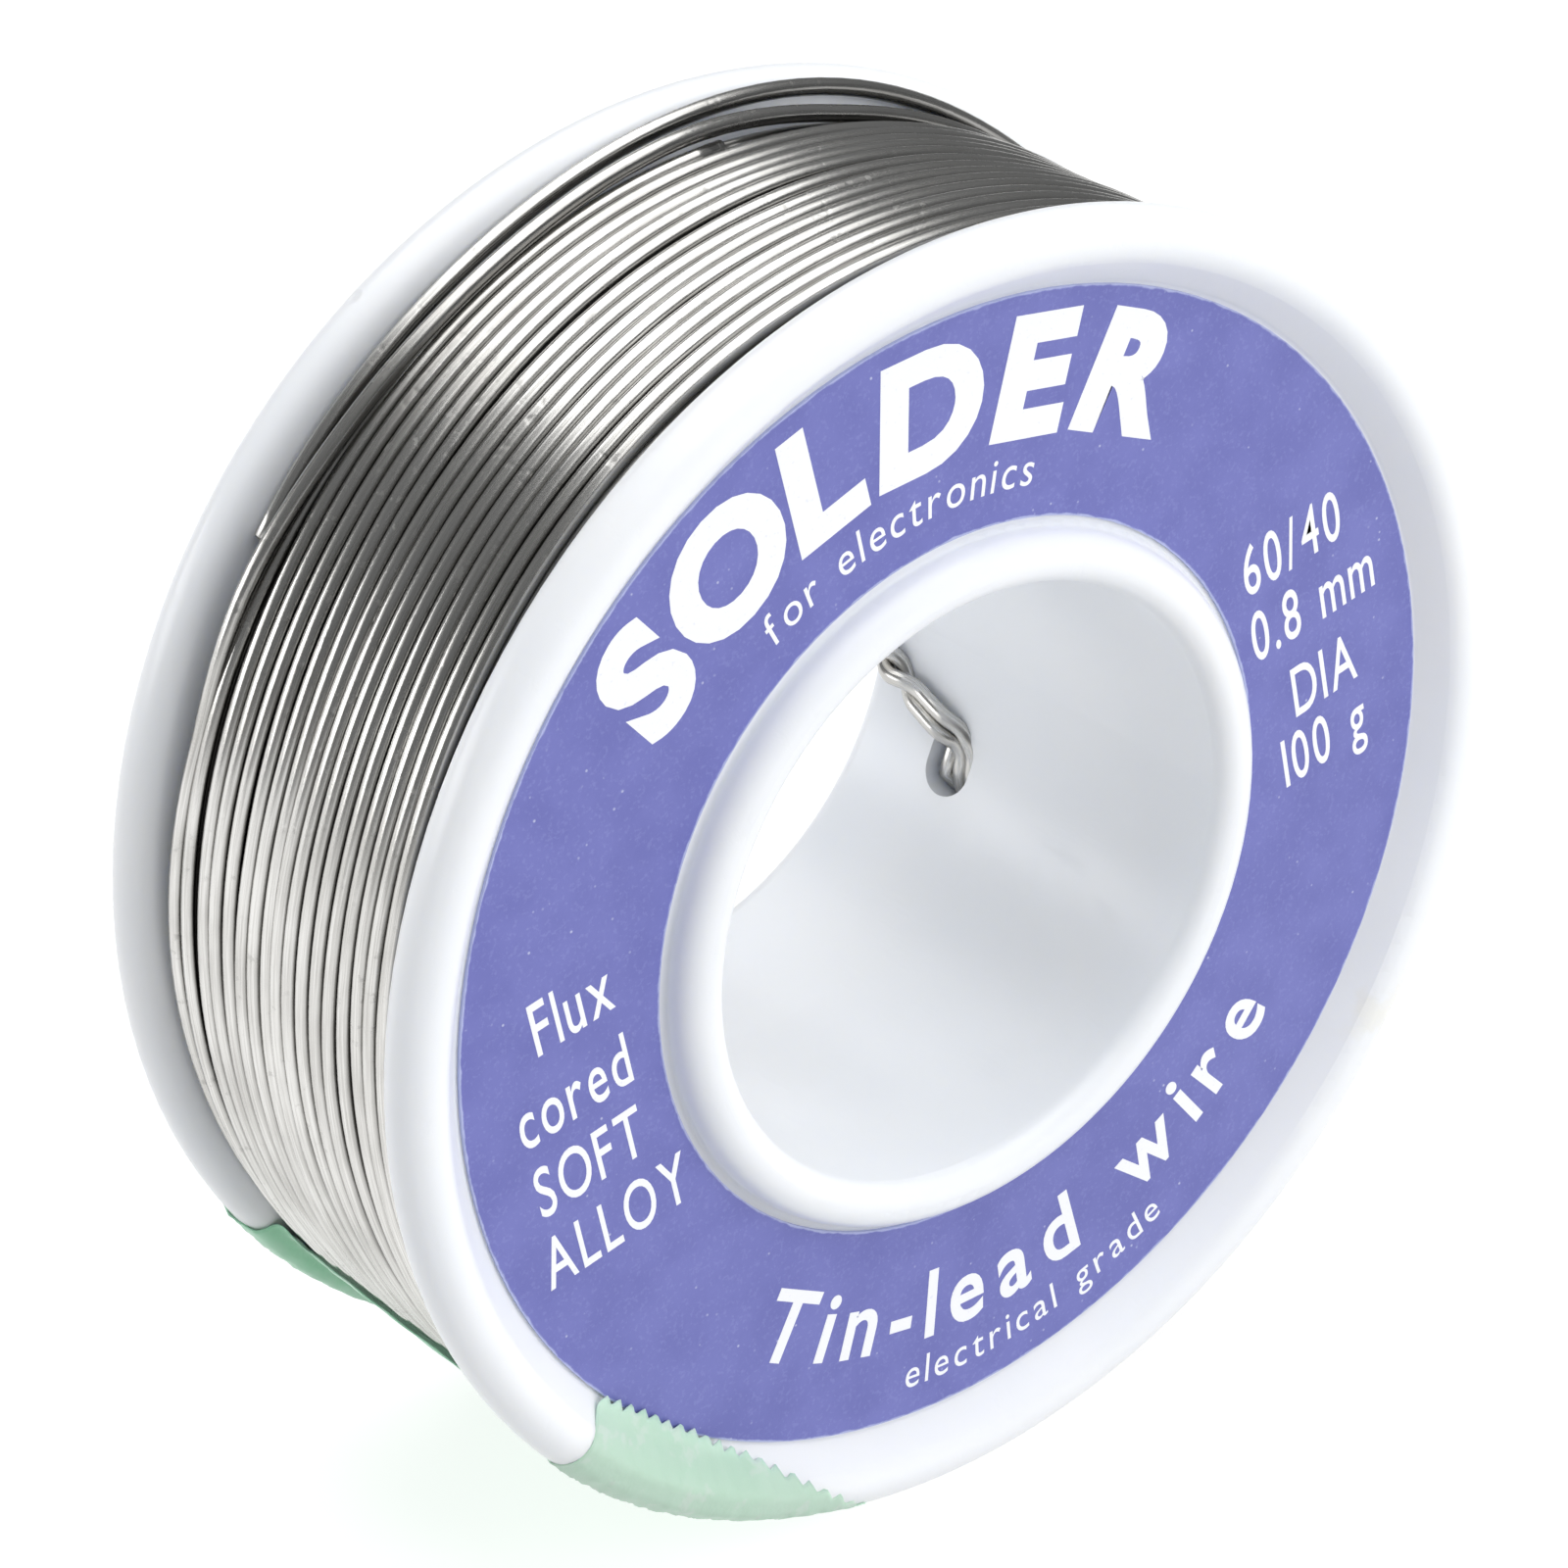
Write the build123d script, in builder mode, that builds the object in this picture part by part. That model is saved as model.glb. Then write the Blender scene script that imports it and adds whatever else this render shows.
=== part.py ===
"""Small spool of flux-cored solder wire, in millimetres.

The spool's axis lies along Y and +Z is up. The labelled face looks towards -Y.
The origin is on the axis, midway between the two flange rims, inside the spindle bore.
Angles round the axis are counted from the top (+Z) towards +X, as seen from the labelled face.
"""

import os
from math import acos, atan2, cos, degrees, floor, hypot, pi, radians, sin, tan

from build123d import *

# ---- driving dimensions -------------------------------------------------------------------
# spool moulding
FLANGE_R = 30.0            # outside radius of both flanges
RIM_ROUND = 1.3            # the rim is a bead of this radius
RIM_Y = 9.7                # bead centres stand this far each side of the middle
RECESS_Y = 9.38            # floor of the ring-shaped recess in each outer face
RAMP_FOOT_R = 26.65        # the recess floor ends here and ramps up to the rim
WALL_Y_OUTER = 8.4         # inner face of a flange, beside the bead
WALL_Y_INNER = 7.4         # inner face of a flange, at the winding drum
DRUM_R = 15.8              # the wire is wound on this radius
BORE_R = 13.8              # spindle bore
BORE_REAR_R = 13.5         # the same bore at its rear mouth, after the mould draft
DRAFT_FROM_Y = 4.0         # the bore is a true cylinder in front of this, and drafted behind it
HUB_FRONT_Y = -10.9        # the hub ring's front and rear faces
HUB_REAR_Y = 12.4
HUB_RING_R = 16.0          # outside radius of the hub ring
HUB_ROLL = 0.9             # rounding of the hub ring
HUB_SHOULDER = 1.2         # larger rounding of its front outer edge
WEB_OVERLAP = 0.2          # how far the hub ring's outline runs on into the flange webs
WEB_ROOT = 1.2             # how far the webs run on into the tube wall
FOOT_FILLET = 0.22         # soft corners in the recess and at the drum

# slot through the drum wall, where the inner end of the wire comes into the bore
SLOT_ANGLE = 113.0
SLOT_Y = 6.1
SLOT_LENGTH = 3.3          # round the axis
SLOT_WIDTH = 2.65          # along the axis
SLOT_OVERCUT = 1.5         # the cutter starts this far inside the bore

# paper ring label
LABEL_OUTER_R = 26.5
LABEL_INNER_R = 16.45
LABEL_THICK = 0.15
GLUE_LINE = 0.005          # between the label and the recess floor

# solder wire, wound in layers
WIRE_D = 0.787             # 0.031 inch
FLUX_D = 0.25              # rosin core inside the wire
FLUX_GAP = 0.005           # room all round the rosin core
TURN_PITCH = 0.82          # from one turn to the next along the axis
LAYER_RISE = 0.775         # from one layer to the next
LAYER_COUNT = 17
LAYER_GAP = 0.01           # left between the layers
VALLEY = 0.1               # the grooves between turns are cut down to this height above their centres
END_CLEARANCE = 0.15       # left between the last turn and a flange
TOP_LAYER_TURNS = 16       # the top layer is only part full, so the winding is crowned
TOP_LAYER_SHIFT = -0.5     # and lies a little towards the front

# outer end of the wire: the last turn, lying against the rear flange
LAST_TURN_R = 28.66
LAST_TURN_Y = 7.75
LAST_TURN_FROM = -54.0     # cut tip
LAST_TURN_TO = 236.0       # where it goes under the tape

# inner end of the wire: a loop drawn through the slot and laid back along the bore
TAIL_R = 13.02             # distance of the wire's centre from the axis, along the wall
TAIL_SPREAD = 0.43         # half the distance between its two strands
TAIL_SLOT_R, TAIL_SLOT_ANGLE = 14.5, 117.5   # where the loop starts, inside the slot
TAIL_EDGE_R, TAIL_EDGE_ANGLE = 13.9, 112.0   # where it leaves the slot
TAIL_BEND_ANGLE = 106.3    # where it turns back along the bore
TAIL_MID_ANGLE, TAIL_MID_Y = 101.5, 9.3
TAIL_END_ANGLE, TAIL_END_Y = 96.8, 12.3
TAIL_LOOP = 1.35           # the strands part by this much more at the loop's end
BEND_SHARE = 0.45          # each bend takes up this share of its shorter run

# strip of tape that holds the last turns down
TAPE_THICK = 0.15
TAPE_FROM = -162.0
TAPE_TO = -124.0
TAPE_START_R = 26.6        # how far in it reaches on each outer face
TAPE_ON_WIRE_R = 29.12     # inner side of the tape where it crosses the wire
TAPE_FLAT_Y = 6.0          # half length of that crossing
TAPE_GAP = 0.04            # glue line between the tape and the rims

BEAD_R = FLANGE_R - RIM_ROUND

os.makedirs("parts", exist_ok=True)


def finish(part, name):
    """Label a finished piece and write its file."""
    part.label = name
    export_step(part, f"parts/{name}.step")


def round_axis(r, angle, y):
    """A point at radius r, at an angle from the top, at a place along the axis."""
    return Vector(r * sin(radians(angle)), y, r * cos(radians(angle)))


def wall_y(r):
    """Distance from the middle to a flange's inner face, at radius r."""
    share = (r - DRUM_R) / (BEAD_R - DRUM_R)
    return WALL_Y_INNER + share * (WALL_Y_OUTER - WALL_Y_INNER)


def tangent_angle(point, centre, radius, turn):
    """Direction from a circle's centre to where a line from a point touches the circle."""
    dx, dy = point[0] - centre[0], point[1] - centre[1]
    return atan2(dy, dx) + turn * acos(radius / hypot(dx, dy))


# ---- spool --------------------------------------------------------------------------------
def hub_outline():
    """Half section of the tube round the bore, with its rolled mouths."""
    front_roll = HUB_FRONT_Y + HUB_ROLL
    rear_roll = HUB_REAR_Y - HUB_ROLL
    ring_edge = HUB_RING_R - HUB_ROLL
    shoulder_edge = HUB_RING_R - HUB_SHOULDER
    shoulder_y = HUB_FRONT_Y + HUB_SHOULDER
    into_web = RECESS_Y - WEB_OVERLAP
    with BuildLine() as line:
        Line((BORE_R, front_roll), (BORE_R, DRAFT_FROM_Y))
        Line((BORE_R, DRAFT_FROM_Y), (BORE_REAR_R, rear_roll))
        RadiusArc((BORE_REAR_R, rear_roll), (BORE_REAR_R + HUB_ROLL, HUB_REAR_Y), HUB_ROLL)
        Line((BORE_REAR_R + HUB_ROLL, HUB_REAR_Y), (ring_edge, HUB_REAR_Y))
        RadiusArc((ring_edge, HUB_REAR_Y), (HUB_RING_R, rear_roll), HUB_ROLL)
        Line((HUB_RING_R, rear_roll), (HUB_RING_R, into_web))
        Line((HUB_RING_R, into_web), (DRUM_R, into_web))
        Line((DRUM_R, into_web), (DRUM_R, -into_web))
        Line((DRUM_R, -into_web), (HUB_RING_R, -into_web))
        Line((HUB_RING_R, -into_web), (HUB_RING_R, shoulder_y))
        RadiusArc((HUB_RING_R, shoulder_y), (shoulder_edge, HUB_FRONT_Y), HUB_SHOULDER)
        Line((shoulder_edge, HUB_FRONT_Y), (BORE_R + HUB_ROLL, HUB_FRONT_Y))
        RadiusArc((BORE_R + HUB_ROLL, HUB_FRONT_Y), (BORE_R, front_roll), HUB_ROLL)
    return line


def flange_outline(side):
    """Half section of one flange without its rim bead, as corners from the tube outwards."""
    on_bead = tangent_angle((RAMP_FOOT_R, RECESS_Y), (BEAD_R, RIM_Y), RIM_ROUND, -1)
    ramp_top = (BEAD_R + RIM_ROUND * cos(on_bead), side * (RIM_Y + RIM_ROUND * sin(on_bead)))
    return [
        (BORE_R + WEB_ROOT, side * RECESS_Y),
        (RAMP_FOOT_R, side * RECESS_Y),
        ramp_top,
        (BEAD_R, side * RIM_Y),
        (BEAD_R, side * WALL_Y_OUTER),
        (DRUM_R, side * WALL_Y_INNER),
        (BORE_R + WEB_ROOT, side * WALL_Y_INNER),
    ]


def soft_corners(section):
    """The inward corners: the recess floor's two edges and the drum's ends."""
    places = [(DRUM_R, WALL_Y_INNER), (HUB_RING_R, RECESS_Y), (RAMP_FOOT_R, RECESS_Y)]
    return [
        v
        for v in section.vertices()
        if any(hypot(v.X - r, abs(v.Y) - y) < 0.01 for r, y in places)
    ]


def make_spool():
    with BuildPart() as spool:
        with BuildSketch(Plane.XY) as section:
            with BuildLine():
                add(hub_outline().line)
            make_face()
            for side in (-1, 1):
                with BuildLine():
                    Polyline(*flange_outline(side), close=True)
                make_face()
                with Locations((BEAD_R, side * RIM_Y)):
                    Circle(RIM_ROUND)
            fillet(soft_corners(section), FOOT_FILLET)
        revolve(axis=Axis.Y)
        outwards = round_axis(1, SLOT_ANGLE, 0)
        slot_plane = Plane(
            origin=round_axis(BORE_R - SLOT_OVERCUT, SLOT_ANGLE, SLOT_Y),
            x_dir=outwards.cross(Vector(0, 1, 0)),
            z_dir=outwards,
        )
        with BuildSketch(slot_plane):
            SlotOverall(SLOT_LENGTH, SLOT_WIDTH)
        extrude(amount=DRUM_R - BORE_R + 1.5 * SLOT_OVERCUT, mode=Mode.SUBTRACT)
    finish(spool.part, "spool")


# ---- paper label --------------------------------------------------------------------------
def make_label():
    label_plane = Plane((0, -RECESS_Y - GLUE_LINE, 0), x_dir=(1, 0, 0), z_dir=(0, -1, 0))
    with BuildPart() as label:
        with BuildSketch(label_plane):
            Circle(LABEL_OUTER_R)
            Circle(LABEL_INNER_R, mode=Mode.SUBTRACT)
        extrude(amount=LABEL_THICK)
    finish(label.part, "front_label")


# ---- winding ------------------------------------------------------------------------------
def layer_radius(number):
    """Radius of the wire's centre in a layer, the first of which lies on the drum."""
    return DRUM_R + WIRE_D / 2 + LAYER_GAP + number * LAYER_RISE


def turns_in_layer(number):
    if number == LAYER_COUNT - 1:
        return TOP_LAYER_TURNS
    room = 2 * (wall_y(layer_radius(number)) - END_CLEARANCE) - WIRE_D
    return floor(room / TURN_PITCH) + 1


def make_layer(number):
    """One layer: a sleeve whose outside shows the round backs of its turns."""
    r = layer_radius(number)
    turns = turns_in_layer(number)
    shift = TOP_LAYER_SHIFT if number == LAYER_COUNT - 1 else 0.0
    first_y = shift - (turns - 1) * TURN_PITCH / 2
    inner_r = r - LAYER_RISE + WIRE_D / 2 + LAYER_GAP
    valley_r = r + VALLEY
    half = WIRE_D / 2
    reach = (half**2 - VALLEY**2) ** 0.5      # half width of a turn's back at the valley
    with BuildPart() as layer:
        with BuildSketch(Plane.XY):
            with BuildLine():
                front_y = first_y - reach
                rear_y = first_y + (turns - 1) * TURN_PITCH + reach
                Polyline((valley_r, front_y), (inner_r, front_y), (inner_r, rear_y), (valley_r, rear_y))
                for i in range(turns):
                    y = first_y + i * TURN_PITCH
                    ThreePointArc((valley_r, y - reach), (r + half, y), (valley_r, y + reach))
                    if i < turns - 1:
                        Line((valley_r, y + reach), (valley_r, y + TURN_PITCH - reach))
            make_face()
        revolve(axis=Axis.Y)
    finish(layer.part, f"wire_layer_{number + 1:02d}")


# ---- loose ends of the wire ---------------------------------------------------------------
def wire_section(plane, radius, hole=0.0):
    """The round section of the wire, or of its rosin core."""
    with BuildSketch(plane) as section:
        Circle(radius)
        if hole:
            Circle(hole, mode=Mode.SUBTRACT)
    return section


def make_last_turn():
    turn = LAST_TURN_TO - LAST_TURN_FROM
    start = round_axis(LAST_TURN_R, LAST_TURN_FROM, LAST_TURN_Y)
    along = Vector(cos(radians(LAST_TURN_FROM)), 0, -sin(radians(LAST_TURN_FROM)))
    plane = Plane(origin=start, x_dir=(0, 1, 0), z_dir=along)
    for name, radius, hole in (
        ("wire_outer_end", WIRE_D / 2, FLUX_D / 2 + FLUX_GAP),
        ("wire_outer_end_flux_core", FLUX_D / 2, 0.0),
    ):
        with BuildPart() as piece:
            add(wire_section(plane, radius, hole).sketch)
            revolve(axis=Axis.Y, revolution_arc=turn)
        finish(piece.part, name)


def tail_path():
    """Two strands side by side: out of the slot, over its edge and back along the bore wall."""
    step = degrees(TAIL_SPREAD / TAIL_R)

    def strand(side):
        y = SLOT_Y + side * TAIL_SPREAD
        return [
            round_axis(TAIL_SLOT_R, TAIL_SLOT_ANGLE, y),
            round_axis(TAIL_EDGE_R, TAIL_EDGE_ANGLE, y),
            round_axis(TAIL_R, TAIL_BEND_ANGLE + side * step, y + 0.2 + side * 0.1),
            round_axis(TAIL_R, TAIL_MID_ANGLE + side * step, TAIL_MID_Y),
            round_axis(TAIL_R, TAIL_END_ANGLE + side * TAIL_LOOP * step, TAIL_END_Y),
        ]

    return strand(-1) + strand(1)[::-1]


def corner_radii(points):
    """The largest round that fits each corner of a route."""
    radii = []
    for a, b, c in zip(points, points[1:], points[2:]):
        turn = radians((b - a).get_angle(c - b))
        shorter = min((b - a).length, (c - b).length)
        radii.append(BEND_SHARE * shorter / tan(turn / 2))
    return radii


def make_tail():
    points = tail_path()
    with BuildLine() as route:
        FilletPolyline(*points, radius=corner_radii(points))
    path = route.wire()
    for name, radius, hole in (
        ("wire_start_tail", WIRE_D / 2, FLUX_D / 2 + FLUX_GAP),
        ("wire_start_tail_flux_core", FLUX_D / 2, 0.0),
    ):
        with BuildPart() as piece:
            section = wire_section(Plane(origin=path @ 0, z_dir=path % 0), radius, hole)
            sweep(sections=section.sketch, path=path)
        swept = pi * (radius**2 - hole**2) * path.length
        if abs(piece.part.volume / swept - 1) > 0.02:
            raise ValueError(f"{name} doesn't fill its route")
        finish(piece.part, name)


# ---- tape ---------------------------------------------------------------------------------
def tape_line(thick):
    """The inner face of the tape (thick 0) or its outer face, as points and rim arcs."""
    radius = RIM_ROUND + TAPE_GAP + thick
    start = (TAPE_START_R, -RECESS_Y - LABEL_THICK - TAPE_GAP - thick)
    on_wire = (TAPE_ON_WIRE_R + thick, -TAPE_FLAT_Y)
    bead = (BEAD_R, -RIM_Y)
    first = tangent_angle(start, bead, radius, 1)
    last = tangent_angle(on_wire, bead, radius, -1)

    def on_bead(angle):
        return (bead[0] + radius * cos(angle), bead[1] + radius * sin(angle))

    if first > 0:
        first -= radians(360)
    return [start, on_bead(first), on_bead((first + last) / 2), on_bead(last), on_wire]


def make_tape():
    inner = tape_line(0.0)
    outer = tape_line(TAPE_THICK)

    def draw(points):
        """Label face, rim, wire, rim and rear face, in that order."""
        mirrored = [(x, -y) for x, y in points]
        Line(points[0], points[1])
        ThreePointArc(points[1], points[2], points[3])
        Line(points[3], points[4])
        Line(points[4], mirrored[4])
        Line(mirrored[4], mirrored[3])
        ThreePointArc(mirrored[3], mirrored[2], mirrored[1])
        Line(mirrored[1], mirrored[0])

    upright = Plane(
        origin=(0, 0, 0),
        x_dir=round_axis(1, TAPE_FROM, 0),
        z_dir=round_axis(1, TAPE_FROM - 90, 0),
    )
    with BuildPart() as tape:
        with BuildSketch(upright):
            with BuildLine():
                draw(inner)
                draw(outer)
                for side in (1, -1):
                    Line((inner[0][0], side * inner[0][1]), (outer[0][0], side * outer[0][1]))
            make_face()
        revolve(axis=Axis.Y, revolution_arc=TAPE_TO - TAPE_FROM)
    finish(tape.part, "holding_tape")


make_spool()
make_label()
for layer_number in range(LAYER_COUNT):
    make_layer(layer_number)
make_last_turn()
make_tail()
make_tape()
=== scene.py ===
import math

import bpy
import numpy as np
from mathutils import Matrix, Vector


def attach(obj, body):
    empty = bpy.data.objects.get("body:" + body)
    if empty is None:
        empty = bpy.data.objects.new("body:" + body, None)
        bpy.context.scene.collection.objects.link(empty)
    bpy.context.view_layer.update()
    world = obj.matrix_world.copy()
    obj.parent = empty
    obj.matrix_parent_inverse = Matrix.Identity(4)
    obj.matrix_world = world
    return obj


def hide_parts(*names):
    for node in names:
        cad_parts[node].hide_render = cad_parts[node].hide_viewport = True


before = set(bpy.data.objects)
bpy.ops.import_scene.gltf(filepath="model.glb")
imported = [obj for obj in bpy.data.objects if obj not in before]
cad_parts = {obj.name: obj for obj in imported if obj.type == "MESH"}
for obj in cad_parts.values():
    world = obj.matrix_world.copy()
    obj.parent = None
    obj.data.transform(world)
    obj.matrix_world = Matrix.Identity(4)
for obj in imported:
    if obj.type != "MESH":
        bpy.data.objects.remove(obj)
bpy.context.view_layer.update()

MM = 0.001
scene = bpy.context.scene

# The spool's axis lies along Y, +Z is up and the labelled face looks towards -Y. Angles round the axis are
# in degrees from the top (+Z) towards +X, as seen from the labelled face. Lengths below are in millimetres.

# ---- sizes that the pieces share with the CAD model -----------------------------------------
WIRE_D = 0.787
WIRE_R = WIRE_D / 2
DRUM_R = 15.8
BEAD_R, BEAD_Y, BEAD_ROUND = 28.7, 9.7, 1.3
WALL_Y_INNER, WALL_Y_OUTER = 7.4, 8.4
LABEL_FACE_Y = -9.535
SLOT_ANGLE = 113.0
LAYER_RISE = 0.775
TURN_PITCH = 0.82
FLOOR_Z = -30.0


# ---- camera ---------------------------------------------------------------------------------
CAMERA_AT = Vector((-134.398, -162.519, 118.265))
CAMERA_FORWARD = Vector((0.55145, 0.67633, -0.48834))
FOCAL_LENGTH, SENSOR_WIDTH = 127.72, 36.0
CAMERA_SHIFT = (-0.0030, 0.0038)


def make_camera():
    data = bpy.data.cameras.new("camera")
    data.lens, data.sensor_width = FOCAL_LENGTH, SENSOR_WIDTH
    data.shift_x, data.shift_y = CAMERA_SHIFT
    data.clip_start, data.clip_end = 0.01, 20.0
    data.dof.use_dof = False
    camera = bpy.data.objects.new("camera", data)
    scene.collection.objects.link(camera)
    forward = CAMERA_FORWARD.normalized()
    right = forward.cross(Vector((0, 0, 1))).normalized()
    turn = Matrix((right, right.cross(forward), -forward)).transposed()
    camera.matrix_world = Matrix.Translation(CAMERA_AT * MM) @ turn.to_4x4()
    scene.camera = camera


# ---- small helpers --------------------------------------------------------------------------
def polar(r, angle, y):
    """Points at radius r, at an angle from the top, at a place along the axis, as rows of x, y, z."""
    a = np.radians(angle)
    r, a, y = np.broadcast_arrays(np.asarray(r, float), a, np.asarray(y, float))
    return np.stack([r * np.sin(a), y, r * np.cos(a)], -1)


def smooth_step(low, high, x):
    t = np.clip((np.asarray(x, float) - low) / (high - low), 0, 1)
    return t * t * (3 - 2 * t)


def ring_noise(rng, angle, waves):
    """A smooth random curve round the axis, about as high as 1."""
    total = np.zeros_like(angle)
    for k in range(1, waves + 1):
        total += rng.normal() * np.cos(np.radians(angle) * k + rng.uniform(0, 2 * math.pi)) / k ** 0.7
    return total / math.sqrt(waves)


def new_piece(name, verts, faces, material, smooth=True, uv=None):
    """A mesh piece from points in millimetres, riding on the spool."""
    mesh = bpy.data.meshes.new(name)
    mesh.from_pydata((np.asarray(verts) * MM).tolist(), [], [list(map(int, f)) for f in faces])
    mesh.validate()
    if smooth:
        mesh.shade_smooth()
    for m in material if isinstance(material, (list, tuple)) else [material]:
        mesh.materials.append(m)
    if uv is not None:
        layer = mesh.uv_layers.new(name="along_wire")
        index = np.zeros(len(mesh.loops), np.int32)
        mesh.loops.foreach_get("vertex_index", index)
        layer.data.foreach_set("uv", np.asarray(uv, np.float32)[index].ravel())
    piece = bpy.data.objects.new(name, mesh)
    scene.collection.objects.link(piece)
    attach(piece, "root")
    return piece


def tube(path, radius, sides, reference=None):
    """Points, faces and along/around values of a round tube along a path, with flat ends.
    reference gives a direction for each point that the tube's seam looks away from."""
    path = np.asarray(path, float)
    along = np.gradient(path, axis=0)
    along /= np.linalg.norm(along, axis=1, keepdims=True)
    if reference is None:
        reference = np.zeros_like(path)
        start = np.array([0.0, 0.0, 1.0]) if abs(along[0, 2]) < 0.9 else np.array([1.0, 0.0, 0.0])
        for i in range(len(path)):
            start = start - along[i] * (start @ along[i])
            start /= np.linalg.norm(start)
            reference[i] = start
    first = reference - along * np.sum(reference * along, axis=1, keepdims=True)
    first /= np.linalg.norm(first, axis=1, keepdims=True)
    second = np.cross(along, first)
    turn = np.linspace(0, 2 * math.pi, sides, endpoint=False) + math.pi
    radius = np.broadcast_to(np.asarray(radius, float), (len(path),))
    first, second = first[:, None, :], second[:, None, :]
    ring = first * np.cos(turn)[None, :, None] + second * np.sin(turn)[None, :, None]
    verts = (path[:, None, :] + ring * radius[:, None, None]).reshape(-1, 3)
    i, k = np.meshgrid(np.arange(len(path) - 1), np.arange(sides), indexing="ij")
    nxt = (k + 1) % sides
    near, far = i * sides, (i + 1) * sides
    faces = np.stack([near + k, near + nxt, far + nxt, far + k], -1).reshape(-1, 4)
    length = np.concatenate([[0], np.cumsum(np.linalg.norm(np.diff(path, axis=0), axis=1))])
    around = np.minimum(np.arange(sides), sides - np.arange(sides)) / sides
    uv = np.stack(np.broadcast_arrays(length[:, None], around[None, :]), -1).reshape(-1, 2)
    faces = [tuple(f) for f in faces]
    faces.append(tuple(range(sides - 1, -1, -1)))
    last = (len(path) - 1) * sides
    faces.append(tuple(range(last, last + sides)))
    return verts, faces, uv


def join(parts):
    """Several (points, faces, uv) as one."""
    verts, faces, uvs, shift = [], [], [], 0
    for v, f, uv in parts:
        verts.append(v)
        uvs.append(uv)
        faces += [tuple(int(i) + shift for i in face) for face in f]
        shift += len(v)
    return np.concatenate(verts), faces, np.concatenate(uvs)


# ---- materials ------------------------------------------------------------------------------
class Nodes:
    """Short names for building one material's node tree."""

    def __init__(self, name):
        self.material = bpy.data.materials.new(name)
        self.material.use_nodes = True
        self.tree = self.material.node_tree
        self.shader = self.tree.nodes["Principled BSDF"]
        self.place = self.add("ShaderNodeTexCoord").outputs["Object"]

    def add(self, kind, **values):
        """A new node with its properties set."""
        node = self.tree.nodes.new(kind)
        for key, value in values.items():
            setattr(node, key, value)
        return node

    def plug(self, value, socket):
        """Links a socket, or sets it to a constant."""
        if isinstance(value, bpy.types.NodeSocket):
            self.tree.links.new(value, socket)
        else:
            socket.default_value = value

    def math(self, operation, a, b=0.0, clamp=False):
        """A Math node's result; clamp keeps it between 0 and 1."""
        node = self.add("ShaderNodeMath", operation=operation, use_clamp=clamp)
        self.plug(a, node.inputs[0])
        self.plug(b, node.inputs[1])
        return node.outputs[0]

    def ramp(self, value, low, high, to_low=0.0, to_high=1.0):
        """The value mapped smoothly from low...high to to_low...to_high."""
        node = self.add("ShaderNodeMapRange", interpolation_type="SMOOTHSTEP")
        self.plug(value, node.inputs["Value"])
        node.inputs["From Min"].default_value, node.inputs["From Max"].default_value = low, high
        node.inputs["To Min"].default_value, node.inputs["To Max"].default_value = to_low, to_high
        return node.outputs["Result"]

    def mix(self, factor, a, b):
        node = self.add("ShaderNodeMix", data_type="RGBA")
        self.plug(factor, node.inputs["Factor"])
        self.plug((*a, 1) if isinstance(a, tuple) else a, node.inputs["A"])
        self.plug((*b, 1) if isinstance(b, tuple) else b, node.inputs["B"])
        return node.outputs["Result"]

    def noise(self, scale, detail=3.0, roughness=0.55, vector=None):
        node = self.add("ShaderNodeTexNoise")
        self.plug(self.place if vector is None else vector, node.inputs["Vector"])
        node.inputs["Scale"].default_value, node.inputs["Detail"].default_value = scale, detail
        node.inputs["Roughness"].default_value = roughness
        return node.outputs["Fac"]

    def cells(self, scale, vector=None):
        node = self.add("ShaderNodeTexVoronoi")
        self.plug(self.place if vector is None else vector, node.inputs["Vector"])
        node.inputs["Scale"].default_value = scale
        return node.outputs["Distance"]

    def stretch(self, vector, scale):
        node = self.add("ShaderNodeMapping")
        self.plug(vector, node.inputs["Vector"])
        node.inputs["Scale"].default_value = scale
        return node.outputs["Vector"]

    def near(self, point, inner, outer):
        """1 within inner millimetres of a point, falling to 0 at outer."""
        node = self.add("ShaderNodeVectorMath", operation="DISTANCE")
        self.plug(self.place, node.inputs[0])
        node.inputs[1].default_value = [c * MM for c in point]
        return self.ramp(node.outputs["Value"], inner * MM, outer * MM, 1.0, 0.0)

    def split(self, vector):
        node = self.add("ShaderNodeSeparateXYZ")
        self.plug(vector, node.inputs[0])
        return node.outputs

    def bump(self, height, strength, distance):
        node = self.add("ShaderNodeBump")
        node.inputs["Strength"].default_value = strength
        node.inputs["Distance"].default_value = distance
        self.plug(height, node.inputs["Height"])
        self.plug(node.outputs["Normal"], self.shader.inputs["Normal"])

    def set(self, **values):
        """Sets the shader's own sockets, with _ for each space in their names."""
        for key, value in values.items():
            self.plug((*value, 1) if key == "Base_Color" and isinstance(value, tuple) else value,
                      self.shader.inputs[key.replace("_", " ")])
        return self.material


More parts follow.
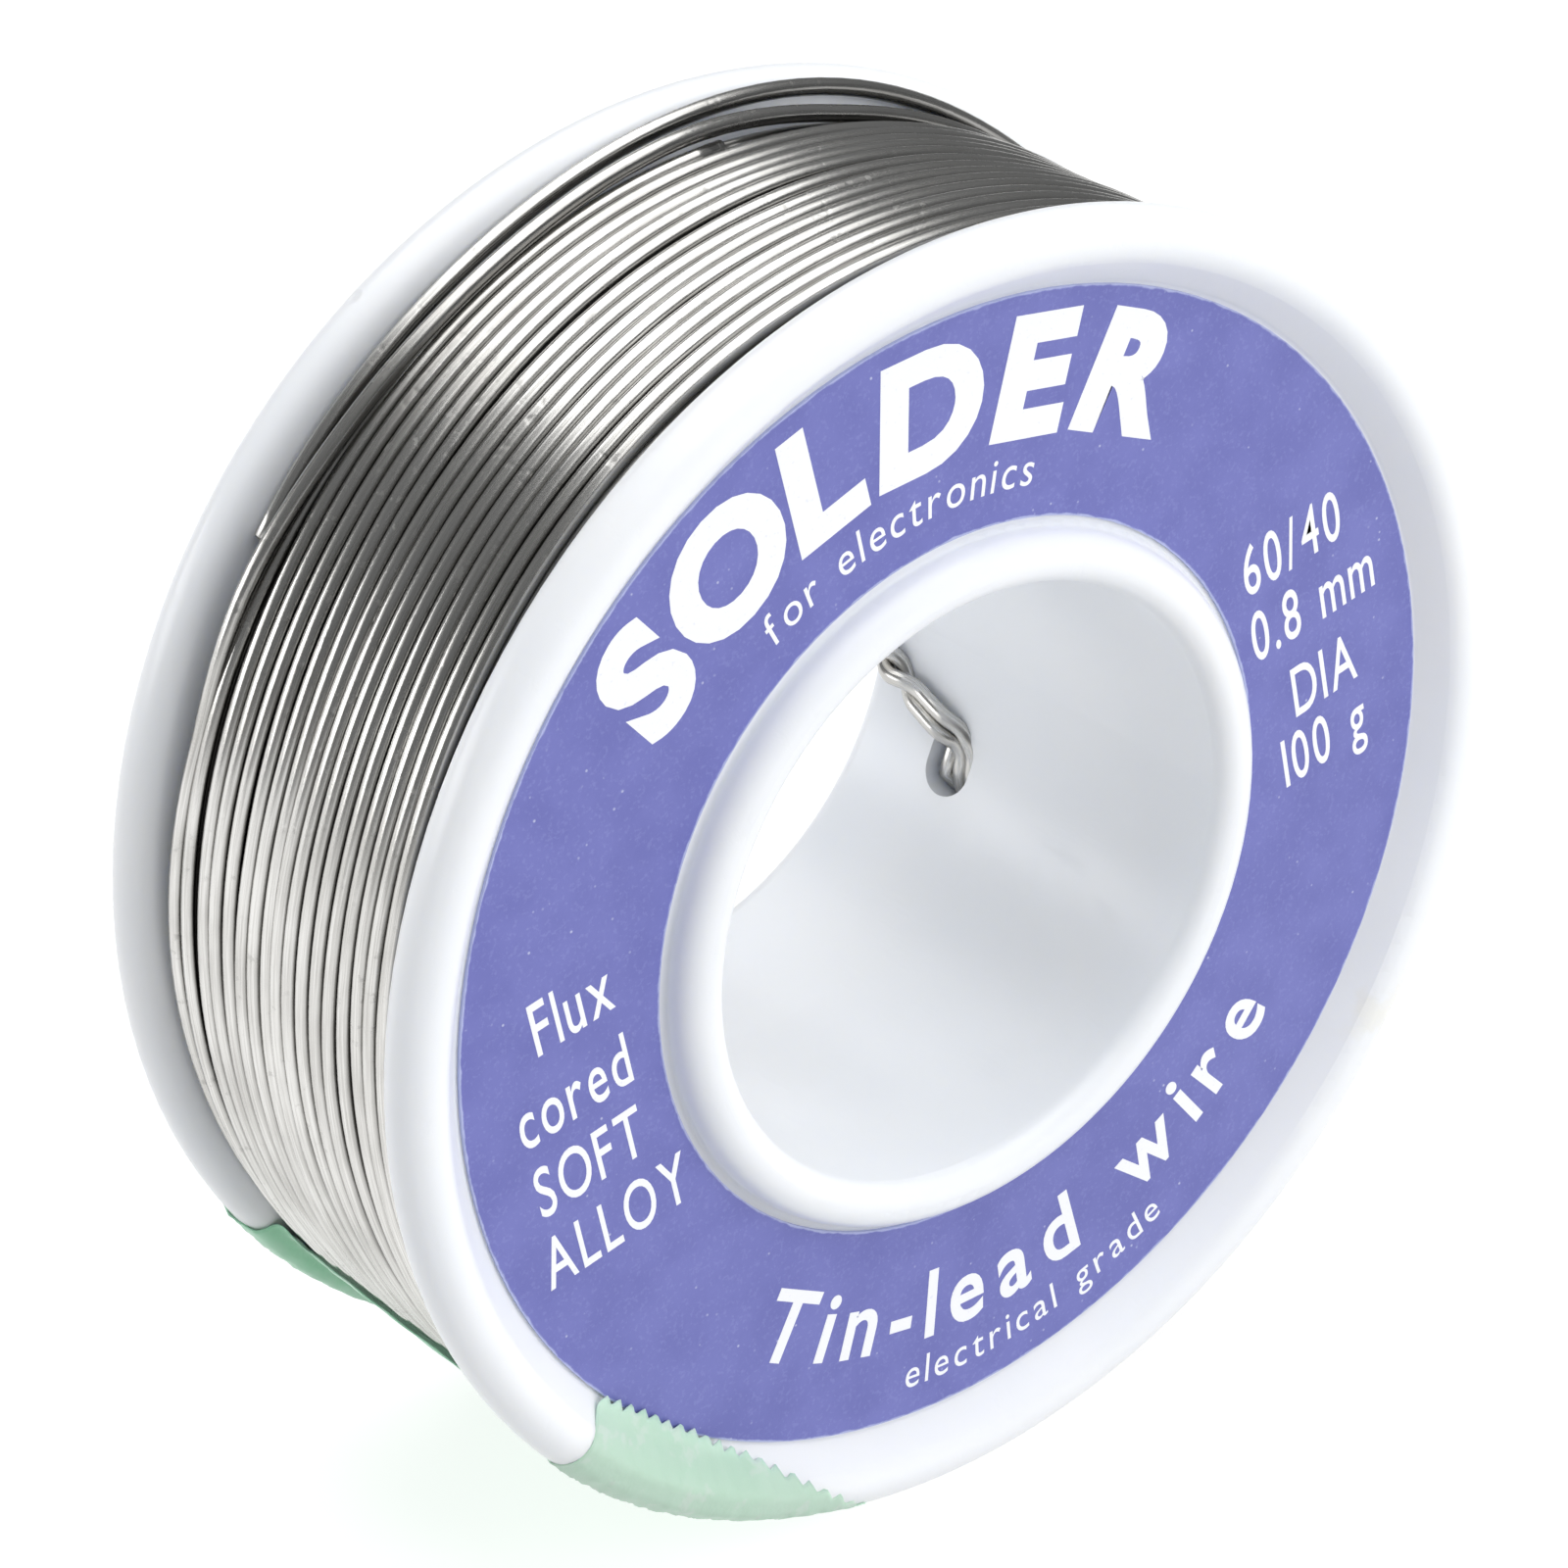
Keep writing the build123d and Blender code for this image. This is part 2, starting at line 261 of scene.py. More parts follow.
def plastic_material():
    n = Nodes("white_moulded_plastic")
    cloud = n.ramp(n.noise(55.0, 3.0), 0.35, 0.7)
    colour = n.mix(cloud, (0.855, 0.878, 0.915), (0.885, 0.900, 0.925))
    # painted reflection: a faint yellow-grey patch on the lower right of the front rim, where it faces down
    # towards the floor
    reflection_patchiness = n.ramp(n.noise(420.0, 4.0), 0.48, 0.66)
    painted_floor_reflection = n.math("MULTIPLY", n.near(polar(29.2, 122.0, -10.4), 0.3, 3.4), reflection_patchiness)
    colour = n.mix(n.math("MULTIPLY", painted_floor_reflection, 0.35), colour, (0.80, 0.76, 0.60))
    # grey dust specks, and one dark speck on the rear flange
    speck = n.ramp(n.cells(430.0), 0.035, 0.060, 1.0, 0.0)
    speck = n.math("MULTIPLY", speck, n.ramp(n.noise(90.0, 2.0), 0.56, 0.66))
    colour = n.mix(n.math("MULTIPLY", speck, 0.35), colour, (0.35, 0.35, 0.34))
    colour = n.mix(n.near(polar(28.6, -79.0, 8.6), 0.03, 0.13), colour, (0.13, 0.13, 0.12))
    # handling scuffs: rougher streaks round the rims
    scuff = n.ramp(n.noise(900.0, 4.0, 0.6, n.stretch(n.place, (1.0, 0.25, 1.0))), 0.55, 0.75)
    roughness = n.math("ADD", n.math("MULTIPLY", scuff, 0.14), 0.30)
    nick = n.near(polar(30.0, -33.8, 10.0), 0.05, 0.45)
    ripple = n.math("MULTIPLY", n.noise(260.0, 3.0), 0.35)
    height = n.math("SUBTRACT", ripple, n.math("MULTIPLY", nick, 3.0))
    height = n.math("SUBTRACT", height, n.math("MULTIPLY", scuff, 0.12))
    n.bump(height, 0.35, 0.00012)
    n.shader.inputs["Subsurface Radius"].default_value = (1.0, 1.05, 1.2)
    return n.set(Base_Color=colour, Roughness=roughness, IOR=1.49, Subsurface_Weight=0.35,
                 Subsurface_Scale=0.0016)


def label_material():
    n = Nodes("printed_paper")
    tone = n.ramp(n.noise(330.0, 4.0), 0.3, 0.7)
    colour = n.mix(tone, (0.138, 0.148, 0.440), (0.166, 0.178, 0.492))
    # screen-printed ink leaves pale pinholes and a fine grain
    grain = n.ramp(n.noise(5200.0, 2.0), 0.52, 0.72)
    colour = n.mix(n.math("MULTIPLY", grain, 0.20), colour, (0.33, 0.36, 0.66))
    hole = n.ramp(n.cells(1500.0), 0.05, 0.13, 1.0, 0.0)
    hole = n.math("MULTIPLY", hole, n.ramp(n.noise(700.0, 2.0), 0.53, 0.66))
    colour = n.mix(n.math("MULTIPLY", hole, 0.55), colour, (0.72, 0.75, 0.88))
    # bare paper shows where the sheet was punched, at both edges
    at = n.split(n.place)
    radius = n.math("ADD", n.math("POWER", at["X"], 2.0), n.math("POWER", at["Z"], 2.0))
    radius = n.math("SQRT", radius)
    fray = n.math("MULTIPLY", n.math("SUBTRACT", n.noise(1400.0, 3.0), 0.5), 0.00022)
    ragged = n.math("ADD", radius, fray)
    rim = n.math("MAXIMUM", n.ramp(ragged, 0.02638, 0.02648), n.ramp(ragged, 0.01648, 0.01657, 1.0, 0.0))
    colour = n.mix(n.math("MULTIPLY", rim, 0.65), colour, (0.55, 0.60, 0.84))
    roughness = n.math("ADD", n.math("MULTIPLY", grain, 0.12), 0.40)
    n.bump(n.math("ADD", n.noise(3600.0, 3.0), n.math("MULTIPLY", n.noise(240.0, 2.0), 1.5)), 0.22, 0.00004)
    return n.set(Base_Color=colour, Roughness=roughness, IOR=1.46)


def print_material():
    n = Nodes("white_ink")
    fleck = n.ramp(n.noise(4200.0, 3.0), 0.60, 0.78)
    colour = n.mix(n.math("MULTIPLY", fleck, 0.35), (0.93, 0.94, 0.97), (0.60, 0.63, 0.86))
    n.bump(n.noise(3600.0, 3.0), 0.15, 0.00003)
    return n.set(Base_Color=colour, Roughness=n.ramp(fleck, 0.0, 1.0, 0.42, 0.52), IOR=1.46)


def solder_material(name, shade=1.0, dull=0.0, dirt_and_shade=0.95):
    """Bright drawn wire. shade darkens the whole metal, which the buried layers' copy uses as painted shade;
    dull roughens it; the last argument darkens its grooves, partly for oxide and dirt and partly as painted
    shade.
    """
    n = Nodes(name)
    uv = n.add("ShaderNodeUVMap", uv_map="along_wire").outputs["UV"]
    streak = n.noise(1.0, 3.0, 0.6, n.stretch(uv, (0.22, 26.0, 1.0)))
    patch = n.noise(130.0, 3.0)
    tone = n.math("ADD", n.math("MULTIPLY", streak, 0.55), n.math("MULTIPLY", patch, 0.45))
    dark, light = (0.50, 0.490, 0.468), (0.76, 0.752, 0.730)
    colour = n.mix(n.ramp(tone, 0.34, 0.68), tuple(c * shade for c in dark), tuple(c * shade for c in light))
    # grey oxide spots; the nicks are only dents in the bump further down
    spot = n.ramp(n.noise(1700.0, 3.0), 0.60, 0.74)
    spot = n.math("MULTIPLY", spot, n.ramp(n.noise(160.0, 2.0), 0.46, 0.62))
    colour = n.mix(n.math("MULTIPLY", spot, 0.45), colour, (0.36, 0.355, 0.34))
    # the grooves between the turns are darkened: partly oxide and dirt that stay there, partly painted shade
    # where the turns shade each other
    around = n.math("ADD", n.split(uv)["Y"], n.math("MULTIPLY", patch, 0.05))
    groove = n.ramp(around, 0.285, 0.425, 1.0, 0.0)
    # the groove darkening is weaker towards the top of the winding
    groove_darkening_by_height = n.ramp(n.split(n.place)["Z"], 0.004, 0.024, dirt_and_shade, dirt_and_shade * 0.60)
    groove = n.math("MULTIPLY", groove, groove_darkening_by_height)
    colour = n.mix(groove, colour, (0.055, 0.053, 0.050))
    roughness = n.ramp(tone, 0.35, 0.70, 0.29 + dull, 0.17 + dull)
    roughness = n.math("ADD", roughness, n.math("MULTIPLY", spot, 0.18), True)
    dent = n.ramp(n.noise(900.0, 2.0), 0.60, 0.78)
    height = n.math("SUBTRACT", n.math("MULTIPLY", streak, 0.45), n.math("MULTIPLY", dent, 0.6))
    n.bump(height, 0.30, 0.00004)
    return n.set(Base_Color=colour, Metallic=1.0, Roughness=roughness)


def rosin_material():
    n = Nodes("rosin_flux")
    colour = n.mix(n.ramp(n.noise(5000.0, 3.0), 0.3, 0.7), (0.42, 0.22, 0.06), (0.62, 0.37, 0.12))
    return n.set(Base_Color=colour, Roughness=n.ramp(n.noise(2500.0), 0.3, 0.7, 0.16, 0.30), IOR=1.53)


def tape_material():
    n = Nodes("green_film_tape")
    tone = n.ramp(n.noise(240.0, 3.0), 0.32, 0.68)
    colour = n.mix(tone, (0.300, 0.760, 0.440), (0.400, 0.820, 0.530))
    # lighter where the film lies on the white front rim, and paler still in its air bubbles
    on_rim = n.ramp(n.split(n.place)["Y"], -0.0100, -0.0084, 1.0, 0.0)
    colour = n.mix(n.math("MULTIPLY", on_rim, 0.62), colour, (0.66, 0.90, 0.72))
    bubble = n.ramp(n.noise(650.0, 3.0, 0.6), 0.56, 0.66)
    colour = n.mix(n.math("MULTIPLY", bubble, 0.30), colour, (0.78, 0.92, 0.82))
    grain = n.math("MULTIPLY", n.noise(2600.0, 2.0), 0.2)
    n.bump(n.math("ADD", n.noise(420.0, 4.0, 0.6), grain), 0.5, 0.00012)
    n.shader.inputs["Subsurface Radius"].default_value = (0.8, 1.2, 0.9)
    return n.set(Base_Color=colour, Roughness=n.ramp(tone, 0.0, 1.0, 0.34, 0.44), Subsurface_Weight=0.4,
                 Subsurface_Scale=0.0008)


PLASTIC = plastic_material()
LABEL = label_material()
INK = print_material()
SOLDER = solder_material("solder_wire")
# painted shade: a darker copy of the solder for the layers that lie in shadow under the top layer
BURIED_SHADED = solder_material("solder_wire_below_painted_shade", 0.42, 0.12)
LOOSE_END = solder_material("solder_wire_loose_end", 0.92, 0.05, 0.0)
ROSIN = rosin_material()
TAPE = tape_material()


def repaint(node, material):
    for material_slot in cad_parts[node].material_slots:
        material_slot.material = material


# ---- winding --------------------------------------------------------------------------------
STEPS = 168                     # points in each turn
ROUND = 12                      # sides of the wire
CLIMB_STEPS = 7                 # points on which the wire climbs to the next layer
WOBBLE_STEPS = 9                # points between the small random shifts of a turn
WALL_GAP = 0.15                 # an even layer stays this far off each flange
SLACK_R = 28.5                  # the last turns lie at least this far out where they are slack


def wall_y(r):
    return WALL_Y_INNER + (r - DRUM_R) / (BEAD_R - DRUM_R) * (WALL_Y_OUTER - WALL_Y_INNER)


def lift(values, reach, soften):
    """The values raised to the highest one nearby and then smoothed, as a taut wire spans its bumps."""
    n = len(values)
    padded = np.concatenate([np.repeat(values[0], reach), values, np.repeat(values[-1], reach)])
    high = np.max([padded[i:i + n] for i in range(2 * reach + 1)], axis=0)
    kernel = np.exp(-np.linspace(-2, 2, 2 * soften + 1) ** 2)
    padded = np.concatenate([np.repeat(high[0], soften), high, np.repeat(high[-1], soften)])
    return np.convolve(padded, kernel / kernel.sum(), "valid")


def resting_radius(angle_index, y, below):
    """How far from the axis a wire lies at y, on the turns below it at the same angle."""
    low_r, low_y = below
    r = low_r[:, angle_index]
    apart = np.abs(low_y[:, angle_index] - y[None, :])
    touch = np.sqrt(np.maximum(WIRE_D ** 2 - apart ** 2, 0))
    return np.where(apart < WIRE_D, r + touch, r.min(axis=0)[None, :]).max(axis=0)


def flat_layer(number):
    """Centres of a layer that is wound evenly: rows of turns, columns of angles."""
    r = DRUM_R + WIRE_R + 0.01 + number * LAYER_RISE
    room = 2 * (wall_y(r) - WALL_GAP) - WIRE_D
    turns = int(room / TURN_PITCH) + 1
    y = (np.arange(turns) - (turns - 1) / 2) * TURN_PITCH
    return np.full((turns, STEPS), r), np.repeat(y[:, None], STEPS, axis=1)


def wound_layer(seed, front_y, rear_y, turns, rearwards, below, loose):
    """Centres of one layer of a single helical wire, with gaps that wander as it goes round.
    Also gives the order in which its turns were wound."""
    rng = np.random.default_rng(seed)
    angle = np.arange(STEPS) * 360 / STEPS
    # the rear turns are pushed forwards: the top layer's at the left, the one below it at the top
    from_top = np.mod(angle + 180, 360) - 180
    if loose > 1:
        rear_y = rear_y - 0.45 * np.exp(-((from_top + 75) / 42) ** 2)
    elif not rearwards:
        rear_y = rear_y - 0.75 * np.exp(-(from_top / 30) ** 2)
    drift = ring_noise(rng, angle, 3)
    gaps = []
    for _ in range(turns):
        drift = 0.40 * drift + 0.90 * ring_noise(rng, angle, 6)
        gaps.append(np.exp(loose * drift))
    gaps = np.array(gaps)
    room = (rear_y - front_y) - turns * WIRE_D
    gaps = WIRE_D + gaps / gaps.sum(axis=0, keepdims=True) * room
    edge = np.concatenate([np.zeros((1, STEPS)), np.cumsum(gaps, axis=0)])[:turns]
    share = angle / 360 if rearwards else 1 - angle / 360
    y = front_y + edge + gaps * share[None, :]
    order = np.arange(turns) if rearwards else np.arange(turns)[::-1]
    run_y = y[order].ravel()
    index = np.tile(np.arange(STEPS), turns)
    knots = np.arange(0, len(run_y) + WOBBLE_STEPS, WOBBLE_STEPS)
    run_y = run_y + 0.022 * np.interp(np.arange(len(run_y)), knots, rng.normal(size=len(knots)))
    run_r = lift(resting_radius(index, run_y, below), 3, 5)
    raised = np.interp(np.arange(len(run_r)), knots, rng.random(len(knots)) ** 2)
    run_r = run_r + 0.035 * loose * raised
    back = np.argsort(order)
    return run_r.reshape(turns, STEPS)[back], run_y.reshape(turns, STEPS)[back], order


def wind(name, layer, order, node, material, next_layer=None):
    """One layer's turns as a mesh piece that stands for the layer's CAD node."""
    r, y = layer
    run_r, run_y = r[order].ravel(), y[order].ravel()
    if next_layer is not None:
        # the same wire climbs into the first turn of the next layer
        next_r, next_y = (values[:CLIMB_STEPS] for values in next_layer)
        share = smooth_step(0, 1, np.arange(1, CLIMB_STEPS + 1) / CLIMB_STEPS)
        run_r = np.append(run_r, run_r[-1] + (next_r - run_r[-1]) * share)
        run_y = np.append(run_y, run_y[-1] + (next_y - run_y[-1]) * share)
    angle = np.arange(len(run_r)) * 360 / STEPS
    verts, faces, uv = tube(polar(run_r, angle, run_y), WIRE_R, ROUND, polar(1.0, angle, 0.0))
    piece = new_piece(name, verts, faces, material, uv=uv)
    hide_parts(node)


def wind_spool():
    # the first layer, which shows through the slot in the bore
    inner_r, inner_y = flat_layer(0)
    share = np.arange(STEPS) / STEPS
    inner_y = inner_y + TURN_PITCH * (share - 0.5)[None, :] * 0.9
    # its last turn sags into the slot in the drum
    sag = 1 - smooth_step(3.2, 6.0, np.abs(share * 360 - SLOT_ANGLE))
    inner_r[-1] -= 1.7 * sag
    inner_y[-1] += 0.4 * sag
    wind("winding_layer_01", (inner_r, inner_y), np.arange(len(inner_r)), "wire_layer_01", LOOSE_END)
    # the three outer layers
    below = flat_layer(13)
    layers = []
    plan = [  # seed, front, rear, turns, direction, looseness
        (11, -8.05, 8.05, 18, True, 0.7),
        (23, -8.10, 8.10, 18, False, 0.8),
        (37, -8.15, 6.20, 15, True, 1.75),
    ]
    for seed, front_y, rear_y, turns, rearwards, loose in plan:
        r, y, order = wound_layer(seed, front_y + WIRE_R, rear_y - WIRE_R, turns, rearwards, below, loose)
        layers.append((r, y, order))
        below = (r, y)
    for i, (r, y, order) in enumerate(layers):
        after = layers[i + 1] if i + 1 < len(layers) else None
        start = (after[0][after[2][0]], after[1][after[2][0]]) if after else None
        # the layers under the top one get the darker copy of the solder, as painted shade
        material = SOLDER if i == len(layers) - 1 else BURIED_SHADED
        wind(f"winding_layer_{15 + i}", (r, y), order, f"wire_layer_{15 + i}", material, start)
    return layers


# The place along the axis of the last turns, against the angle from the cut tip back to the top layer.
LAST_TURNS_Y = [
    (-54, 7.86), (-20, 7.95), (15, 8.02), (60, 7.95), (200, 7.85),
    (262, 7.72), (290, 7.05), (320, 5.80), (335, 5.75), (355, 6.40), (378, 7.15),
    (420, 7.05), (560, 6.95), (620, 6.55), (660, 6.45),
]


def last_turns(layers):
    """The wire's outer end: two turns beside the rear flange and a slack loop at the top."""
    join_y, join_r = layers[2][1][-1, -1], layers[2][0][-1, -1]
    angle = np.append(np.arange(-54.0, 718.0, 360 / STEPS), 718.5)
    y = np.interp(angle, *zip(*LAST_TURNS_Y, (700, join_y + 0.10), (719, join_y)))
    y = np.concatenate([np.repeat(y[0], 4), y, np.repeat(y[-1], 4)])
    y = np.convolve(y, np.ones(9) / 9, "valid")
    index = np.mod(np.round(angle * STEPS / 360).astype(int), STEPS)
    both = [np.concatenate([layers[1][k], layers[2][k]]) for k in (0, 1)]
    r = resting_radius(index, y, both)
    r = lift(np.where(angle > 660, np.minimum(r, join_r), r), 4, 7)
    r = np.where(angle < 130, np.maximum(r, SLACK_R), r)
    # the turn before it crosses over the top layer and comes back
    crossing = smooth_step(284, 306, angle) - smooth_step(352, 380, angle)
    r = np.where((angle > 270) & (angle < 390), np.maximum(r, SLACK_R + 0.87 * crossing), r)
    r = r + (join_r - r[-1]) * smooth_step(690, 718, angle)
    # the newest turn stands off the winding in a slack loop
    bulge = 1.05 * np.exp(-((angle - 8) / 27) ** 2)
    r = r + np.where(angle < 236, bulge, 0)
    path = polar(r, angle, y)
    verts, faces, uv = tube(path, WIRE_R, ROUND, polar(1.0, angle, 0.0))
    return verts, faces, uv, path


def make_outer_end(layers):
    verts, faces, uv, path = last_turns(layers)
    along = path[0] - path[1]
    along /= np.linalg.norm(along)
    # cut tip: a slightly pinched end face with the rosin core in the middle
    faces = faces[:-2] + [faces[-1]]
    ring = verts[:ROUND]
    rim = path[0] + (ring - path[0]) * 0.80 + along * 0.10
    core = path[0] + (ring - path[0]) * 0.32 + along * 0.12
    dish = path[0] + (ring - path[0]) * 0.26 + along * 0.04
    start = len(verts)
    verts = np.concatenate([verts, rim, core, dish])
    uv = np.concatenate([uv, np.zeros((3 * ROUND, 2))])
    rings = [0, start, start + ROUND, start + 2 * ROUND]
    for a, b in zip(rings, rings[1:]):
        for k in range(ROUND):
            m = (k + 1) % ROUND
            faces.append((a + m, a + k, b + k, b + m))
    faces.append(tuple(range(rings[-1] + ROUND - 1, rings[-1] - 1, -1)))
    piece = new_piece("outer_end_of_wire", verts, faces, [SOLDER, ROSIN], uv=uv)
    for p in piece.data.polygons:
        if all(v >= start + ROUND for v in p.vertices):
            p.material_index = 1
    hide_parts("wire_outer_end", "wire_outer_end_flux_core")


# ---- inner end of the wire, in the bore -----------------------------------------------------
def spline(points, count):
    """A smooth path through points."""
    points = np.asarray(points, float)
    knots = np.concatenate([[0], np.cumsum(np.linalg.norm(np.diff(points, axis=0), axis=1))])
    slopes = np.gradient(points, knots, axis=0)
    t = np.linspace(0, knots[-1], count)
    i = np.clip(np.searchsorted(knots, t, "right") - 1, 0, len(knots) - 2)
    h = (knots[i + 1] - knots[i])[:, None]
    s = ((t - knots[i])[:, None]) / h
    return ((2 * s**3 - 3 * s**2 + 1) * points[i] + (s**3 - 2 * s**2 + s) * h * slopes[i]
            + (-2 * s**3 + 3 * s**2) * points[i + 1] + (s**3 - s**2) * h * slopes[i + 1])


TAIL_ROUTE = [  # radius, angle and place along the axis of the middle between the two strands
    (15.45, 118.6, 5.60), (15.0, 117.2, 5.60), (14.55, 114.5, 5.60), (14.30, 111.2, 5.65),
    (13.75, 107.9, 6.0), (13.2, 106.3, 6.75), (13.12, 104.7, 7.9), (13.1, 102.7, 9.1),
    (13.05, 100.2, 10.2), (13.0, 97.7, 11.15), (12.95, 96.2, 11.75),
]


def make_start_tail():
    """The doubled start of the wire: out of the slot, bent over its edge and twisted back along the bore."""
    centre = spline([polar(*place) for place in TAIL_ROUTE], 190)
    along = np.gradient(centre, axis=0)
    along /= np.linalg.norm(along, axis=1, keepdims=True)
    outwards = centre * [1, 0, 1]
    outwards /= np.linalg.norm(outwards, axis=1, keepdims=True)
    across = np.cross(along, outwards)
    across /= np.linalg.norm(across, axis=1, keepdims=True)
    up = np.cross(across, along)
    share = np.linspace(0, 1, len(centre))
    twist = math.pi * 1.25 * smooth_step(0.60, 1.0, share)
    half = WIRE_R * (1.0 + 0.03 * np.sin(share * 19))
    offset = (across * np.cos(twist)[:, None] + up * np.sin(twist)[:, None]) * half[:, None]
    first, second = centre + offset, centre - offset
    # the two strands join in a small loop at the end
    end = centre[-1] + along[-1] * 0.55
    loop = [end + offset[-1] * 0.75, end + along[-1] * 0.12, end - offset[-1] * 0.75]
    route = spline(np.concatenate([first, loop, second[::-1]]), 420)
    verts, faces, uv = tube(route, WIRE_R, ROUND)
    piece = new_piece("start_of_wire", verts, faces, LOOSE_END, uv=uv)
    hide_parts("wire_start_tail", "wire_start_tail_flux_core")


# ---- tape -----------------------------------------------------------------------------------
TAPE_ALONG, TAPE_ACROSS = 110, 96           # points along the film and across it
TAPE_THICK = 0.06
TAPE_EDGE, TAPE_SPAN = -131.0, 39.5         # angle of its upper edge, and how far it reaches from there
TAPE_TEETH = 21
CUT_MIDDLE, CUT_R = -139.7, 26.07           # the front cut is a chord: its middle's angle and radius


def tape_profile(u):
    """Radius and axial place of the film's middle line, for u from 0 (front end) to 1 (rear end)."""
    def on_bead(side, degrees):
        a = math.radians(degrees)
        radius = BEAD_ROUND + 0.10
        return BEAD_R + radius * math.cos(a), side * (BEAD_Y - radius * math.sin(a))

    knots = np.array([
        (26.1, -9.64), (27.0, -9.95), (27.75, -10.63),
        *(on_bead(-1, degrees) for degrees in (-100, -55, -10, 40)),
        (29.30, -7.6), (29.16, -6.6), (29.14, 0.0), (29.14, 6.2), (29.06, 7.3), (28.98, 7.9),
        *(on_bead(1, degrees) for degrees in (74, 52, 30, -10, -55, -100)),
        (27.75, 10.63), (27.0, 9.95), (26.4, 9.52),
    ])
    length = np.concatenate([[0], np.cumsum(np.linalg.norm(np.diff(knots, axis=0), axis=1))])
    length /= length[-1]
    return np.interp(u, length, knots[:, 0]), np.interp(u, length, knots[:, 1])


def front_cut_share(angle, fine_u, fine_r):
    """Where the straight, saw-toothed front cut crosses the film's profile at an angle."""
    cut_r = CUT_R / np.cos(np.radians(angle - CUT_MIDDLE))
    front = fine_u < 0.30
    order = np.argsort(fine_r[front])
    return np.interp(cut_r, fine_r[front][order], fine_u[front][order])


def make_tape():
    rng = np.random.default_rng(5)
    fine_u = np.linspace(0, 1, 800)
    fine_r, _ = tape_profile(fine_u)
    fine_r = np.where(fine_u < 0.3, np.maximum.accumulate(fine_r), fine_r)
    v = np.linspace(0, 1, TAPE_ACROSS)                 # across the film, from its upper to its lower edge
    t = np.linspace(0, 1, TAPE_ALONG)                  # along the film
    tooth = v * TAPE_TEETH
    teeth = np.abs(np.mod(tooth, 1) - 0.5) * 2
    depth = 0.011 + 0.006 * rng.random(TAPE_TEETH + 1)[np.minimum(tooth.astype(int), TAPE_TEETH)]
    plain_angle = TAPE_EDGE - TAPE_SPAN * v
    start = np.clip(front_cut_share(plain_angle, fine_u, fine_r), 0.0, 0.2) + teeth * depth
    end = 1.0 - np.abs(np.mod(tooth + 0.3, 1) - 0.5) * 0.03 - 0.02 * smooth_step(0.6, 1.0, v)
    u = start[None, :] + (end - start)[None, :] * t[:, None]
    r, y = tape_profile(u)
    # it was put on askew, and its upper edge reaches further up the rear rim
    reach = 6.0 * (1 - smooth_step(0.0, 0.35, v))[None, :]
    skew = smooth_step(0.22, 0.80, u) * 6.5 + smooth_step(0.80, 0.93, u) * reach
    ragged = ring_noise(rng, t * 360, 9)[:, None] * (1 - smooth_step(0, 0.06, v))[None, :]
    angle = plain_angle[None, :] + skew + ragged * 0.45
    # long creases between the rims, and a small ripple all over
    between = smooth_step(0.15, 0.35, u) * (1 - smooth_step(0.7, 0.9, u))
    wrinkle = 0.05 * ring_noise(rng, v * 360, 14)[None, :] * between
    ripple = 0.035 * np.sin(angle * 1.9 + 3 * np.sin(u * 9)) * np.sin(u * 37 + angle * 0.7)
    outer = polar(r + np.maximum(wrinkle, -0.05) + ripple, angle, y)
    tangent = np.gradient(outer, axis=0)
    across = np.gradient(outer, axis=1)
    normal = np.cross(across, tangent)
    normal /= np.linalg.norm(normal, axis=2, keepdims=True)
    middle = (TAPE_ALONG // 2, TAPE_ACROSS // 2)
    if np.sum(normal[middle] * outer[middle] * [1, 0, 1]) < 0:
        normal = -normal
    offset = normal * TAPE_THICK / 2
    verts = np.concatenate([(outer + offset).reshape(-1, 3), (outer - offset).reshape(-1, 3)])
    count, w = TAPE_ALONG * TAPE_ACROSS, TAPE_ACROSS
    faces = []
    for i in range(TAPE_ALONG - 1):
        for k in range(w - 1):
            a = i * w + k
            faces.append((a, a + 1, a + w + 1, a + w))
            faces.append((count + a, count + a + w, count + a + w + 1, count + a + 1))
    edge = [i * w for i in range(TAPE_ALONG)] + [(TAPE_ALONG - 1) * w + k for k in range(1, w)]
    edge += [i * w + w - 1 for i in range(TAPE_ALONG - 2, -1, -1)] + [k for k in range(w - 2, 0, -1)]
    for a, b in zip(edge, edge[1:] + edge[:1]):
        faces.append((a, b, count + b, count + a))
    piece = new_piece("holding_tape_film", verts, faces, TAPE)
    piece.data.flip_normals()
    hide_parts("holding_tape")


# ---- print on the label ---------------------------------------------------------------------
LABEL_TURN = -12.5              # the label was stuck on turned by this angle
INK_THICK, INK_SUNK = 0.012, 0.004
BLOCK_R = 21.0                  # both blocks of lines are centred at this radius
WORD_SPACE = 0.408              # width of a space, as a share of the letters' height


